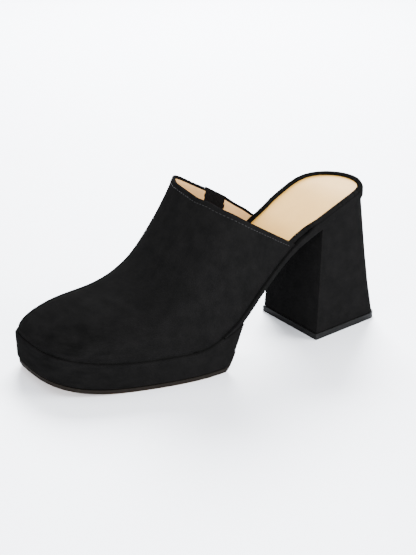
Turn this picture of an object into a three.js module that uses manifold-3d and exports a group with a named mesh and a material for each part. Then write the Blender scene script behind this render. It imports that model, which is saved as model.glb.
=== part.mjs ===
// A backless heeled platform mule for the left foot, in millimetres, +Z up.
// The shoe stands on its outsole and heel tap, toe towards +Y, medial side towards +X.
// The last's own frame starts at the back of the seat: x across, y forward, z up from the floor.
import * as THREE from 'three';
import { mergeVertices } from 'three/addons/utils/BufferGeometryUtils.js';
import Module from 'manifold-3d';

const wasm = await Module();
wasm.setup();

// Driving dimensions of the last
const shoeLength = 236; // back of the seat to the front of the platform
const ballWidth = 90; // platform width at the ball
const heelHeight = 92; // floor to the board at the back of the seat
const forepartHeight = 19; // floor to the ledge of the platform at the ball
const instepHeight = 109; // floor to the peak of the topline
const instepReach = 127.5; // back of the seat to that peak
const wingReach = 65; // back of the seat to where the topline meets the seat
const toplineTilt = 0.12; // rise of the topline from the lateral to the medial side, per unit of width
const medialBelly = 5.5; // how far the medial side swells over the waist's edge
const heelRound = 33; // length over which the back of the seat rounds off
const toeRound = 39; // length over which the toe rounds off in plan
const toeBoxRound = 36; // length over which the toe box turns down to the ledge

// Thicknesses and small sizes
const upperWall = 2.2; // suede with its lining
const ledge = 1.6; // how far the platform stands out beyond the upper
const boardThickness = 4.4;
const boardEdgeRound = 1.4;
const boardTip = 1; // what is left of it where it thins out over the platform
const scarfLength = 16; // length over which it thins out
const sockThickness = 1.6;
const sockSlack = 0.2; // extra room at its sides inside the upper
const sockTaper = 17; // length over which it narrows to go inside the upper
const sockFrontGap = 4; // room left before the front of the toe box
const wingGap = 3; // how far behind the wings that narrowing and the rim below end
const seatRim = 2.0; // dark rim round the sock on the seat, as high as the sock
const rimFade = 10; // length over which that rim runs out in front of the seat
const outsoleThickness = 3;
const outsoleInset = 1.6;
const outsoleSetback = 6; // its back edge in front of the platform's
const platformEdgeRound = 1.6;
const wallLean = 0.6; // how far its wall draws in towards the floor
const roundShare = 0.4; // most of the wall's height that each rounded edge takes
const clearance = 0.3; // between pieces that touch

// Platform
const platformBack = 113; // where it begins under the board
const platformTip = 1.2; // its thickness there
const treadBack = 127; // where its underside reaches the floor level
const toeSpring = 6; // rise of the underside at the front
const treadFront = 184; // where that rise begins

const scarfEnd = platformBack + scarfLength;

// Heel
const breastTop = 46.5; // front of the heel at the board
const breastFoot = 50; // front of the heel at the tap
const heelFootBack = -7; // back of the heel at the tap
const heelFootFrontWidth = 59.5;
const heelFootBackWidth = 36;
const heelCornerRound = 7;
const flarePower = 0.85; // how soon its walls draw in over the flared foot
const tapThickness = 4;
const tapProud = 0.7;

// Elastic gore
const goreFrontShare = 0.57; // its front edge, as a share of the way from the wings to the peak
const goreBackShare = 0.34; // its back edge
const goreDepth = 34;
const goreThickness = 1.1;
const goreLean = 0.22; // forward run of its edges for each unit of depth
const goreTaper = 2; // how much each edge draws in at its foot
const goreFront = wingReach + goreFrontShare * (instepReach - wingReach);
const goreBack = wingReach + goreBackShare * (instepReach - wingReach);

// Sections of the last. at: share of the length. bottom: share of the pitch from forepart to seat.
// lateral, medial: edges as shares of the ball width. crest: shift of the ridge from the middle,
// as a share of the ball width.
const sections = [
  { at: 0.00, bottom: 1.000, lateral: 0.312, medial: 0.326, crest: 0.00 },
  { at: 0.10, bottom: 0.957, lateral: 0.325, medial: 0.322, crest: 0.04 },
  { at: 0.20, bottom: 0.820, lateral: 0.335, medial: 0.300, crest: 0.07 },
  { at: 0.30, bottom: 0.662, lateral: 0.355, medial: 0.266, crest: 0.08 },
  { at: 0.40, bottom: 0.415, lateral: 0.400, medial: 0.278, crest: 0.08 },
  { at: 0.50, bottom: 0.152, lateral: 0.458, medial: 0.360, crest: 0.08 },
  { at: 0.60, bottom: 0.012, lateral: 0.494, medial: 0.469, crest: 0.08 },
  { at: 0.70, bottom: 0.000, lateral: 0.474, medial: 0.548, crest: 0.08 },
  { at: 0.80, bottom: 0.004, lateral: 0.420, medial: 0.568, crest: 0.06 },
  { at: 0.90, bottom: 0.037, lateral: 0.357, medial: 0.560, crest: 0.03 },
  { at: 1.00, bottom: 0.096, lateral: 0.302, medial: 0.544, crest: 0.00 },
];

// Ridge of the last. at: share of the length. rise: share of the instep's height over the forepart.
const ridgeRows = [
  { at: 0.28, rise: 2.30 },
  { at: 0.42, rise: 1.80 },
  { at: 0.54, rise: 1.00 },
  { at: 0.58, rise: 0.775 },
  { at: 0.64, rise: 0.523 },
  { at: 0.70, rise: 0.388 },
  { at: 0.76, rise: 0.325 },
  { at: 0.82, rise: 0.294 },
  { at: 0.90, rise: 0.255 },
  { at: 1.00, rise: 0.200 },
];

const planPower = 3; // squareness of heel and toe in plan
const seatPower = 2.15;
const archPower = 2.65; // fullness of the upper's sections
const risePower = 1.5; // roundness of the underside behind the tread
const toeBoxPower = 2.1;
const toeFlat = 0.34; // share of the width along the front edge of the upper

// Smooth value of one column of a table
function along(rows, column, at) {
  const last = rows.length - 1;
  let i = 0;
  while (i < last - 1 && at > rows[i + 1].at) i += 1;
  const slope = (k) => {
    const a = rows[Math.max(k - 1, 0)];
    const b = rows[Math.min(k + 1, last)];
    return (b[column] - a[column]) / (b.at - a.at);
  };
  const span = rows[i + 1].at - rows[i].at;
  const t = (at - rows[i].at) / span;
  const t2 = t * t;
  const t3 = t2 * t;
  return rows[i][column] * (2 * t3 - 3 * t2 + 1)
    + rows[i + 1][column] * (3 * t2 - 2 * t3)
    + slope(i) * span * (t3 - 2 * t2 + t)
    + slope(i + 1) * span * (t3 - t2);
}

const clamp = THREE.MathUtils.clamp;
const lerp = THREE.MathUtils.lerp;
const smooth = (x, from, to) => THREE.MathUtils.smoothstep(x, from, to);
const quarter = (share, power) => (1 - clamp(share, 0, 1) ** power) ** (1 / power);

// Height of the last's bottom over the floor
function bottomAt(y) {
  const at = clamp(y / shoeLength, 0, 1);
  return forepartHeight + (heelHeight - forepartHeight) * along(sections, 'bottom', at);
}

function middleAt(y) {
  const at = clamp(y / shoeLength, 0, 1);
  return ballWidth * (along(sections, 'medial', at) - along(sections, 'lateral', at)) / 2;
}

function fullHalfAt(y) {
  const at = clamp(y / shoeLength, 0, 1);
  return ballWidth * (along(sections, 'medial', at) + along(sections, 'lateral', at)) / 2;
}

// Share of the half width that is left near the two rounded ends of an outline inset by some amount
function endShare(y, inset) {
  const back = quarter((heelRound - y) / (heelRound - inset), seatPower);
  const front = quarter((y - (shoeLength - toeRound)) / (toeRound - inset), planPower);
  return Math.min(y < heelRound ? back : 1, y > shoeLength - toeRound ? front : 1);
}

function halfAt(y, inset) {
  return Math.max(fullHalfAt(y) - inset, 0) * endShare(y, inset);
}

// Joins closed rings of equal count into one skin, capped at both ends
function loft(rings, caps) {
  const triangles = [];
  const quad = (a, b, c, d) => triangles.push(a, b, c, a, c, d);
  const count = rings[0].length;
  for (let k = 0; k < rings.length - 1; k += 1) {
    for (let i = 0; i < count; i += 1) {
      const j = (i + 1) % count;
      quad(rings[k][i], rings[k][j], rings[k + 1][j], rings[k + 1][i]);
    }
  }
  caps(rings[0], (a, b, c, d) => quad(d, c, b, a));
  caps(rings[rings.length - 1], quad);
  return triangles;
}

// Cap of a ring whose first half runs along one side and whose second half comes back
function zipped(ring, quad) {
  const pairs = ring.length / 2;
  for (let i = 0; i < pairs - 1; i += 1) {
    const back = ring.length - 1 - i;
    quad(ring[i], ring[i + 1], ring[back - 1], ring[back]);
  }
}

// Closed geometry from a list of corner points, three for each triangle
function geometryOf(corners) {
  const loose = new THREE.BufferGeometry().setFromPoints(corners);
  const merged = mergeVertices(loose, 1e-3);
  const index = merged.index.array;
  const kept = [];
  for (let i = 0; i < index.length; i += 3) {
    const [a, b, c] = [index[i], index[i + 1], index[i + 2]];
    if (a !== b && b !== c && c !== a) kept.push(a, b, c);
  }
  merged.setIndex(kept);
  return volumeOf(merged) < 0 ? turned(merged) : merged;
}

function volumeOf(geometry) {
  const at = geometry.attributes.position;
  const index = geometry.index.array;
  const [a, b, c] = [new THREE.Vector3(), new THREE.Vector3(), new THREE.Vector3()];
  let volume = 0;
  for (let i = 0; i < index.length; i += 3) {
    a.fromBufferAttribute(at, index[i]);
    b.fromBufferAttribute(at, index[i + 1]);
    c.fromBufferAttribute(at, index[i + 2]);
    volume += a.dot(b.cross(c)) / 6;
  }
  return volume;
}

function turned(geometry) {
  const index = geometry.index.array;
  const swapped = [];
  for (let i = 0; i < index.length; i += 3) swapped.push(index[i], index[i + 2], index[i + 1]);
  geometry.setIndex(swapped);
  return geometry;
}

function solidOf(geometry) {
  return new wasm.Manifold(new wasm.Mesh({
    numProp: 3,
    vertProperties: new Float32Array(geometry.attributes.position.array),
    triVerts: new Uint32Array(geometry.index.array),
  }));
}

function geometryOfSolid(solid) {
  const mesh = solid.getMesh();
  const geometry = new THREE.BufferGeometry();
  geometry.setAttribute('position', new THREE.BufferAttribute(mesh.vertProperties, 3));
  geometry.setIndex(new THREE.BufferAttribute(mesh.triVerts, 1));
  return geometry;
}

// Stations along an outline, closer together where its ends turn
function stations(from, to, turnBack, turnFront, counts) {
  const list = [];
  const [backCount, middleCount, frontCount] = counts;
  for (let i = 0; i < backCount; i += 1) {
    list.push(from + turnBack * (1 - Math.cos((Math.PI / 2) * (i / backCount))));
  }
  for (let i = 0; i <= middleCount; i += 1) {
    list.push(lerp(from + turnBack, to - turnFront, i / middleCount));
  }
  for (let i = 1; i <= frontCount; i += 1) {
    list.push(to - turnFront * (1 - Math.sin((Math.PI / 2) * (i / frontCount))));
  }
  return list;
}

// Ring round an outline: along the lateral side to the toe and back along the medial side
function outlineRing(ys, inset, level) {
  const insetAt = typeof inset === 'function' ? inset : () => inset;
  const point = (y, side) => {
    const x = middleAt(y) + side * halfAt(y, insetAt(y));
    return new THREE.Vector3(x, y, level(y));
  };
  return [...ys.map((y) => point(y, -1)), ...[...ys].reverse().map((y) => point(y, 1))];
}

// Outsole: a thin sheet that follows the platform's underside
const treadLevel = (y) => {
  const spring = toeSpring * clamp((y - treadFront) / (shoeLength - treadFront), 0, 1) ** 2;
  const meet = bottomAt(platformBack) - boardThickness - clearance - platformTip - outsoleThickness;
  const rise = meet * clamp((treadBack - y) / (treadBack - platformBack), 0, 1) ** risePower;
  return spring + rise;
};

// Evenly spaced values, without the last one
const spread = (from, to, count) => Array.from({ length: count }, (_, i) => lerp(from, to, i / count));

// Stations under the forepart: through the rise behind the tread, along it and round the toe
const soleCounts = { rise: 6, tread: 8, toe: 10 };

function soleStations(from, to, turnFront) {
  const flat = Math.max(treadBack, scarfEnd) + outsoleThickness;
  const list = [
    ...spread(from, treadBack, soleCounts.rise),
    treadBack,
    scarfEnd,
    scarfEnd + clearance,
    ...spread(flat, to - turnFront, soleCounts.tread),
  ];
  for (let i = 0; i <= soleCounts.toe; i += 1) {
    list.push(to - turnFront * (1 - Math.sin((Math.PI / 2) * (i / soleCounts.toe))));
  }
  const sorted = list.sort((a, b) => a - b);
  return sorted.filter((y, i) => i === 0 || y - sorted[i - 1] > clearance / 3);
}

// Height left between outsole and platform, measured across the slope of the rise
function slopedGap(y) {
  const step = 0.5;
  const slope = (treadLevel(y - step) - treadLevel(y + step)) / (2 * step);
  return clearance * Math.hypot(1, slope);
}

function outsole() {
  const ys = soleStations(platformBack + outsoleSetback, shoeLength - outsoleInset, toeRound - outsoleInset);
  const top = (y) => treadLevel(y) + outsoleThickness - slopedGap(y);
  const rings = [
    outlineRing(ys, outsoleInset, treadLevel),
    outlineRing(ys, outsoleInset, top),
  ];
  return geometryOf(loft(rings, zipped));
}

// Platform: from its rounded underside edge up to the ledge that the upper stands on
function platform() {
  const under = (y) => treadLevel(y) + outsoleThickness;
  const top = (y) => bottomAt(y) - boardDepthAt(y) - clearance;
  const ringAt = (inset, share) => {
    const ys = soleStations(platformBack, shoeLength - inset, toeRound - inset);
    return outlineRing(ys, inset, (y) => lerp(under(y), top(y), share(top(y) - under(y))));
  };
  const round = platformEdgeRound;
  const bend = round * (1 - Math.SQRT1_2);
  const part = (size, height) => size * Math.min(1 / height, roundShare / round);
  const rings = [
    ringAt(round + wallLean, () => 0),
    ringAt(bend + wallLean, (height) => part(bend, height)),
    ringAt(wallLean, (height) => part(round, height)),
    ringAt(0, (height) => 1 - part(round, height)),
    ringAt(bend, (height) => 1 - part(bend, height)),
    ringAt(round, () => 1),
  ];
  return geometryOf(loft(rings, zipped));
}

// Depth of the insole board: full under seat and waist, thinning to an edge over the platform
function boardDepthAt(y) {
  if (y > scarfEnd) return 0;
  return lerp(boardThickness, boardTip, clamp((y - platformBack) / scarfLength, 0, 1));
}

// Counts of stations round the seat, along the middle and round the toe
const boardCounts = [9, 12, 0];
const scarfCount = 6;
const sockCounts = [9, 20, 9];

function insoleBoard() {
  const frontEdge = scarfEnd - clearance;
  const rimEnd = wingReach - wingGap;
  const turn = heelRound - boardEdgeRound;
  const rimHeight = sockThickness + clearance;
  const rimInside = seatRim - clearance;
  const ringAt = (inset, share, raised) => {
    const ys = [
      ...stations(inset, platformBack, turn, 0, boardCounts),
      ...spread(platformBack, scarfEnd, scarfCount).slice(1),
      frontEdge,
    ];
    const rise = (y) => rimHeight * (1 - smooth(y, rimEnd - rimFade, rimEnd));
    const level = (y) => bottomAt(y) - (1 - share) * boardDepthAt(y) + (raised ? rise(y) : 0);
    return outlineRing(ys, inset, level);
  };
  const round = boardEdgeRound;
  const bend = round * (1 - Math.SQRT1_2);
  const rings = [
    ringAt(round, 0, false),
    ringAt(bend, bend / boardThickness, false),
    ringAt(0, round / boardThickness, false),
    ringAt(0, 1 - bend / boardThickness, true),
    ringAt(bend, 1, true),
    ringAt(rimInside, 1, true),
    ringAt(rimInside, 1, false),
  ];
  return geometryOf(loft(rings, zipped));
}

// Sock: leather over the seat and down into the forepart
function insoleSock() {
  const inside = ledge + upperWall + clearance;
  const narrow = wingReach - wingGap;
  const inset = (y) => lerp(seatRim, inside + sockSlack, smooth(y, narrow - sockTaper, narrow));
  const turnFront = toeRound - inside - sockFrontGap;
  const to = shoeLength - inside - sockFrontGap;
  const ys = stations(seatRim, to, heelRound - seatRim, turnFront, sockCounts);
  const rings = [0, 1].map((share) => outlineRing(
    ys,
    inset,
    (y) => bottomAt(y) + clearance + share * sockThickness,
  ));
  return geometryOf(loft(rings, zipped));
}

const toeBoxStart = shoeLength - toeRound - toeBoxRound / 2;

// The last's skin over the feather line. t: 0 at the lateral edge, 1 at the medial edge.
const toeEdge = (inset) => {
  const span = toeRound - inset;
  return shoeLength - toeRound + span * quarter(toeFlat, planPower);
};

function skinPoint(y, t, depth) {
  const inset = ledge + depth;
  const end = toeEdge(inset);
  const share = endShare(Math.min(y, end), inset);
  const half = Math.max(fullHalfAt(y) - inset, 0) * share;
  const middle = middleAt(y);
  const at = clamp(y / shoeLength, 0, 1);
  const crestX = middle + ballWidth * along(sections, 'crest', at) * share;
  const ridge = forepartHeight + (instepHeight - forepartHeight) * along(ridgeRows, 'rise', at);
  const start = end - toeBoxRound + depth;
  const fall = y > start ? quarter((y - start) / (end - start), toeBoxPower) : 1;
  const angle = Math.PI * t;
  const across = Math.abs(Math.cos(angle)) ** (2 / archPower);
  const up = Math.sin(angle) ** (2 / archPower);
  const swell = medialBelly * Math.max(-Math.sin(2 * angle), 0) * (1 - smooth(y, instepReach, toeBoxStart));
  const x = t < 0.5
    ? crestX - (crestX - (middle - half)) * across
    : crestX + (middle + half - crestX) * across + swell;
  const offMiddle = clamp(Math.abs(x - middle) / (fullHalfAt(y) - inset), 0, toeFlat);
  const reach = shoeLength - toeRound + (toeRound - inset) * quarter(offMiddle, planPower) - end;
  const bulge = reach * smooth(y, end - toeBoxRound / 2, end) ** 2;
  const low = bottomAt(y + bulge) + clearance;
  const height = Math.max(ridge - depth - low, 0) * fall;
  return new THREE.Vector3(x, y + bulge, low + height * up);
}

// Where the topline crosses the skin at t: a plane from the wings up to the instep peak
const toplineMargin = 20; // how far beyond wings and peak it is looked for
const halvings = 40;

function toplineAt(t) {
  const wingHeight = bottomAt(wingReach) + clearance;
  const slope = (instepHeight - wingHeight) / (instepReach - wingReach);
  let [low, high] = [wingReach - toplineMargin, instepReach + toplineMargin];
  for (let i = 0; i < halvings; i += 1) {
    const y = (low + high) / 2;
    const point = skinPoint(y, t, 0);
    const plane = wingHeight + slope * (y - wingReach) + toplineTilt * point.x;
    if (point.z > plane) low = y;
    else high = y;
  }
  return (low + high) / 2;
}

const archSteps = 36;
const lengthSteps = 19;
const toeSteps = 9;

function skinGrid(depth) {
  const end = toeEdge(ledge + depth);
  const start = end - toeBoxRound + depth;
  const grid = [];
  for (let k = 0; k <= lengthSteps + toeSteps; k += 1) {
    const row = [];
    for (let i = 0; i <= archSteps; i += 1) {
      const t = i / archSteps;
      const first = toplineAt(t);
      const turn = Math.sin((Math.PI / 2) * ((k - lengthSteps) / toeSteps));
      const y = k <= lengthSteps ? lerp(first, start, k / lengthSteps) : lerp(start, end, turn);
      row.push(skinPoint(y, t, depth));
    }
    grid.push(row);
  }
  return grid;
}

function upperShell(outerDepth, innerDepth) {
  const outer = skinGrid(outerDepth);
  const inner = skinGrid(innerDepth);
  const rings = outer.map((row, k) => [...row, ...[...inner[k]].reverse()]);
  return geometryOf(loft(rings, zipped));
}

// Leaning block that marks out the gore on the medial side
function goreBlock(grow) {
  const side = new THREE.Shape();
  const top = instepHeight;
  const middleHeight = (bottomAt(wingReach) + instepHeight) / 2;
  const foot = middleHeight - goreDepth - grow;
  const runTop = goreLean * (top - middleHeight);
  const runFoot = goreLean * (middleHeight - foot);
  side.moveTo(goreBack - grow - runTop, top);
  side.lineTo(goreFront + grow - runTop, top);
  side.lineTo(goreFront + grow + runFoot - goreTaper, foot);
  side.lineTo(goreBack - grow + runFoot + goreTaper, foot);
  side.closePath();
  const geometry = new THREE.ExtrudeGeometry(side, { depth: ballWidth, bevelEnabled: false, steps: 1 });
  geometry.rotateX(Math.PI / 2);
  geometry.rotateZ(Math.PI / 2);
  geometry.deleteAttribute('normal');
  geometry.deleteAttribute('uv');
  const merged = mergeVertices(geometry, 1e-3);
  return volumeOf(merged) < 0 ? turned(merged) : merged;
}

function upper() {
  const shell = solidOf(upperShell(0, upperWall));
  return geometryOfSolid(shell.subtract(solidOf(goreBlock(0))));
}

function elasticGore() {
  const recess = (upperWall - goreThickness) / 2;
  const shell = solidOf(upperShell(recess, recess + goreThickness));
  return geometryOfSolid(shell.intersect(solidOf(goreBlock(-clearance))));
}

// Heel: from the seat's outline under the board to a four-cornered foot
const heelSteps = { side: 6, corner: 5, back: 4 };

function heelFootChain(proud) {
  const front = heelFootFrontWidth / 2 + proud;
  const back = heelFootBackWidth / 2 + proud;
  const [yFront, yBack] = [breastFoot + proud, heelFootBack - proud];
  const corner = new THREE.Vector2(-back, yBack);
  const up = new THREE.Vector2(-front, yFront).sub(corner).normalize();
  const start = corner.clone().addScaledVector(up, heelCornerRound);
  const end = new THREE.Vector2(-back + heelCornerRound, yBack);
  const chain = [];
  for (let i = 0; i < heelSteps.side; i += 1) {
    const share = i / heelSteps.side;
    chain.push(new THREE.Vector2(lerp(-front, start.x, share), lerp(yFront, start.y, share)));
  }
  const turn = new THREE.QuadraticBezierCurve(start, corner, end);
  for (let i = 0; i <= heelSteps.corner; i += 1) chain.push(turn.getPoint(i / heelSteps.corner));
  for (let i = 1; i <= heelSteps.back; i += 1) {
    const share = i / heelSteps.back;
    chain.push(new THREE.Vector2(lerp(end.x, 0, share), yBack));
  }
  return chain;
}

function heelTopChain(count) {
  const chain = [];
  for (let i = 0; i <= count; i += 1) {
    const share = i / count;
    const y = boardEdgeRound + (breastTop - boardEdgeRound) * (1 - Math.sin((Math.PI / 2) * share));
    chain.push(new THREE.Vector2(middleAt(y) - halfAt(y, boardEdgeRound), y));
  }
  return chain;
}

function heelRing(share, level, proud) {
  const foot = heelFootChain(proud);
  const top = heelTopChain(foot.length - 1);
  const lateral = foot.map((low, i) => {
    const x = lerp(low.x, top[i].x, share);
    const y = lerp(low.y, top[i].y, share);
    return new THREE.Vector3(x, y, level(y));
  });
  const medial = [...lateral].reverse().map((p) => new THREE.Vector3(-p.x, p.y, p.z));
  return [...lateral, ...medial];
}

function heel() {
  const seatUnder = (y) => bottomAt(y) - boardThickness - clearance;
  const levels = [0, 0.25, 0.5, 0.75, 1];
  const foot = tapThickness + clearance;
  const rings = levels.map((share) => heelRing(
    share ** flarePower,
    (y) => lerp(foot, seatUnder(y), share),
    0,
  ));
  return geometryOf(loft(rings, zipped));
}

function topPiece() {
  const rings = [0, tapThickness].map((level) => heelRing(0, () => level, tapProud));
  return geometryOf(loft(rings, zipped));
}

const suede = { color: 0x141414, roughness: 0.95, metalness: 0 };
const pieces = [
  { name: 'outsole', make: outsole, finish: { color: 0x6b4a32, roughness: 0.7, metalness: 0 } },
  { name: 'platform', make: platform, finish: suede },
  { name: 'insole_board', make: insoleBoard, finish: suede },
  { name: 'insole_sock', make: insoleSock, finish: { color: 0xe6d6bd, roughness: 0.55, metalness: 0 } },
  { name: 'upper', make: upper, finish: suede },
  { name: 'elastic_gore', make: elasticGore, finish: { color: 0x101010, roughness: 0.85, metalness: 0 } },
  { name: 'heel', make: heel, finish: suede },
  { name: 'top_piece', make: topPiece, finish: { color: 0x080808, roughness: 0.35, metalness: 0 } },
];

const shoe = new THREE.Group();
for (const piece of pieces) {
  const mesh = new THREE.Mesh(piece.make(), new THREE.MeshStandardMaterial(piece.finish));
  mesh.name = piece.name;
  shoe.add(mesh);
}

// The origin is on the floor under the middle of the shoe's box
const box = new THREE.Box3().setFromObject(shoe);
const middle = box.getCenter(new THREE.Vector3());
shoe.position.set(-middle.x, -middle.y, -box.min.z);

export default shoe;
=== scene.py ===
# %% [markdown]
# # A suede platform mule
# A mule is a shoe with no back: one suede vamp over the toes and instep, a block heel, and a
# leather sock where the bare heel rests. The solids come from a CAD frame, in metres, toe towards
# +Y and the inner side of the foot towards +X. This lesson dresses each of them.

# %% Load the frame
import math

import bmesh
import bpy
from mathutils import Matrix, Vector
from mathutils.bvhtree import BVHTree


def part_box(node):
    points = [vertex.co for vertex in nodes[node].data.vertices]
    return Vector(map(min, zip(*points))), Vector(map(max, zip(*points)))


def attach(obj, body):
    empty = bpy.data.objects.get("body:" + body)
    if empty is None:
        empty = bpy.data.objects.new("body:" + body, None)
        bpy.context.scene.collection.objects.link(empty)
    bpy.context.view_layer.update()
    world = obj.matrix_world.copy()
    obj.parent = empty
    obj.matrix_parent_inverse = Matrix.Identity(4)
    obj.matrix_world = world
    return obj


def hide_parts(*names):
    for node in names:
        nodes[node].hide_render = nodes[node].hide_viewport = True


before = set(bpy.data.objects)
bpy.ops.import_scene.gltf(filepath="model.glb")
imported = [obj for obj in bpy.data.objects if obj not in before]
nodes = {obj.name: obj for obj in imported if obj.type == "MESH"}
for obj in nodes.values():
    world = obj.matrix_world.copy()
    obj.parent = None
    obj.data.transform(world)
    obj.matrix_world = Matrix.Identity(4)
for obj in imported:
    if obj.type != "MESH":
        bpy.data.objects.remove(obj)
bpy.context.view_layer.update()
MM = 0.001
print("solids:", ", ".join(sorted(nodes)))

# %% [markdown]
# ## The camera
# The camera stands where it stood for the picture: to the outside of the shoe, nearer to the toe,
# and about 20 degrees up. It could be turned by angles typed in, but a direction from its place to
# a point on the shoe stays right when either is moved. A long lens keeps the shoe's proportions.

# %% Camera
FRAME_WIDTH = 416
FRAME_HEIGHT = 555
SENSOR = 36
LENS = 97
camera_place = Vector((-0.748, 0.472, 0.380))
camera_target = Vector((-0.002, -0.001, 0.046))
camera_data = bpy.data.cameras.new("picture_camera")
camera = bpy.data.objects.new("picture_camera", camera_data)
bpy.context.scene.collection.objects.link(camera)
bpy.context.scene.camera = camera
camera.location = camera_place
camera.rotation_mode = "QUATERNION"
camera.rotation_quaternion = (camera_target - camera_place).to_track_quat("-Z", "Y")
camera_data.sensor_width = SENSOR
camera_data.lens = LENS
wide = math.degrees(2 * math.atan(SENSOR / 2 / LENS * FRAME_WIDTH / FRAME_HEIGHT))
print("width of view in degrees:", round(wide, 1))

# %% [markdown]
# ## Floor and light
# A pale floor and large soft lights, as in a small product studio. The sky gives an even fill,
# a wide window behind the shoe lets its soft shadow fall forward, and panels at the toe, the heel
# and beside the camera model the near side. Small lamps would draw hard edges on the floor.

# %% Floor
FLOOR_REACH = 6
floor_mesh = bpy.data.meshes.new("floor")
floor = bpy.data.objects.new("floor", floor_mesh)
bpy.context.scene.collection.objects.link(floor)
bm = bmesh.new()
bmesh.ops.create_grid(bm, x_segments=1, y_segments=1, size=FLOOR_REACH)
bm.to_mesh(floor_mesh)
bm.free()
print("floor in metres:", 2 * FLOOR_REACH, "across")


# %% Materials by nodes
def new_material(name):
    """A material with its own Principled shader, and that shader."""
    material = bpy.data.materials.new(name)
    material.use_nodes = True
    return material, material.node_tree.nodes["Principled BSDF"]


def add_node(material, kind, **settings):
    """A node with some of its settings and socket values set by name."""
    node = material.node_tree.nodes.new(kind)
    for key, value in settings.items():
        if key in node.inputs:
            node.inputs[key].default_value = value
        else:
            setattr(node, key, value)
    return node


def wire(material, source, target):
    """A link from one socket to another."""
    material.node_tree.links.new(source, target)


floor_material, floor_shader = new_material("white_table")
floor_shader.inputs["Base Color"].default_value = (0.82, 0.84, 0.89, 1)
floor_shader.inputs["Roughness"].default_value = 0.55
floor_mesh.materials.append(floor_material)
print("floor finish:", floor_material.name)

# %% Lights
SKY_COLOUR = (0.93, 0.96, 1.0, 1)
SKY_STRENGTH = 1.3
world = bpy.data.worlds.new("studio")
bpy.context.scene.world = world
world.use_nodes = True
sky = world.node_tree.nodes["Background"]
sky.inputs["Color"].default_value = SKY_COLOUR
sky.inputs["Strength"].default_value = SKY_STRENGTH


def panel(name, place, target, size, power, colour=(1, 1, 1)):
    """A square soft light that faces a point."""
    data = bpy.data.lights.new(name, "AREA")
    data.size = size
    data.energy = power
    data.color = colour
    lamp = bpy.data.objects.new(name, data)
    bpy.context.scene.collection.objects.link(lamp)
    lamp.location = place
    lamp.rotation_mode = "QUATERNION"
    lamp.rotation_quaternion = (Vector(target) - Vector(place)).to_track_quat("-Z", "Y")


panel("overhead", (0.1, 0.2, 1.5), (0, 0, 0), 1.3, 16)
panel("window_behind", (1.1, -0.7, 0.95), (0, 0, 0), 0.8, 150, (0.95, 0.97, 1.0))
panel("toe_side", (-0.6, 1.2, 0.34), (0, 0, 0.05), 0.8, 38)
panel("heel_side", (-1.0, -1.1, 0.6), (0, 0, 0.05), 0.9, 76)
panel("near_side", (-1.3, 0.55, 0.3), (0, 0, 0.04), 0.8, 34)
print("lights:", ", ".join(light.name for light in bpy.data.lights))

# %% [markdown]
# ## Suede
# Suede is the flesh side of leather, buffed to a short nap. It has no gloss of its own: light
# catches the tips of the fibres, so edges that turn away look a little paler. A picture of suede
# could be wrapped round the shoe, but nodes need no unfolding and stay sharp up close. Sheen gives
# the pale edges, two sizes of noise give the brushed patches, and fine noise in the bump the nap.

# %% Bump and colour helpers
NOISE_LOW = 0.3
NOISE_HIGH = 0.7


def object_noise(material, scale, detail=4, roughness=0.55, stretch=(1, 1, 1)):
    """A noise in the piece's own metres, about one blob for each 1 / scale of a metre."""
    place = add_node(material, "ShaderNodeTexCoord")
    mapping = add_node(material, "ShaderNodeMapping")
    mapping.inputs["Scale"].default_value = stretch
    noise = add_node(
        material, "ShaderNodeTexNoise", Scale=scale, Detail=detail, Roughness=roughness
    )
    wire(material, place.outputs["Object"], mapping.inputs["Vector"])
    wire(material, mapping.outputs["Vector"], noise.inputs["Vector"])
    return noise.outputs["Fac"]


def spread_between(material, value, low, high):
    """Maps the usual range of a noise onto another one."""
    node = add_node(material, "ShaderNodeMapRange")
    node.inputs["From Min"].default_value = NOISE_LOW
    node.inputs["From Max"].default_value = NOISE_HIGH
    node.inputs["To Min"].default_value = low
    node.inputs["To Max"].default_value = high
    wire(material, value, node.inputs["Value"])
    return node.outputs["Result"]


def two_tones(material, value, dark, pale):
    """A colour between two tones by a 0 to 1 value."""
    node = add_node(material, "ShaderNodeMix", data_type="RGBA")
    wire(material, value, node.inputs["Factor"])
    node.inputs["A"].default_value = (*dark, 1)
    node.inputs["B"].default_value = (*pale, 1)
    return node.outputs["Result"]


def mottled(material, noise, dark, pale):
    """Two tones that a noise mixes over its whole range."""
    return two_tones(material, spread_between(material, noise, 0, 1), dark, pale)


def bumped(material, shader, layers):
    """Stacks height layers, each a (height, strength, distance), into the shader's normal."""
    normal = None
    for height, strength, distance in layers:
        bump = add_node(material, "ShaderNodeBump", Strength=strength, Distance=distance)
        wire(material, height, bump.inputs["Height"])
        if normal is not None:
            wire(material, normal, bump.inputs["Normal"])
        normal = bump.outputs["Normal"]
    wire(material, normal, shader.inputs["Normal"])


print("a noise is read from", NOISE_LOW, "to", NOISE_HIGH)

# %% Black suede
# Over the toes the suede is brushed in strokes of its own, and its tone there is darker on
# average. That darkening is painted shade, which tempers the light on the top of the toe.
BRUSHED_AND_SHADED_FROM = 35 * MM
BRUSHED_AND_SHADED_TO = 105 * MM
SUEDE_TONES = ((0.0025, 0.0025, 0.0025), (0.0038, 0.0037, 0.0037))
BRUSHED_AND_SHADED_TONES = ((0.0018, 0.0018, 0.0018), (0.0036, 0.0035, 0.0035))
STROKE = (0.6, 1, 2.6)


def towards_toe(material):
    """0 on the instep and 1 over the toes, by the place along the shoe."""
    place = add_node(material, "ShaderNodeTexCoord")
    parts = add_node(material, "ShaderNodeSeparateXYZ")
    wire(material, place.outputs["Object"], parts.inputs["Vector"])
    ramp = add_node(material, "ShaderNodeMapRange")
    ramp.inputs["From Min"].default_value = BRUSHED_AND_SHADED_FROM
    ramp.inputs["From Max"].default_value = BRUSHED_AND_SHADED_TO
    wire(material, parts.outputs["Y"], ramp.inputs["Value"])
    return ramp.outputs["Result"]


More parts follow.
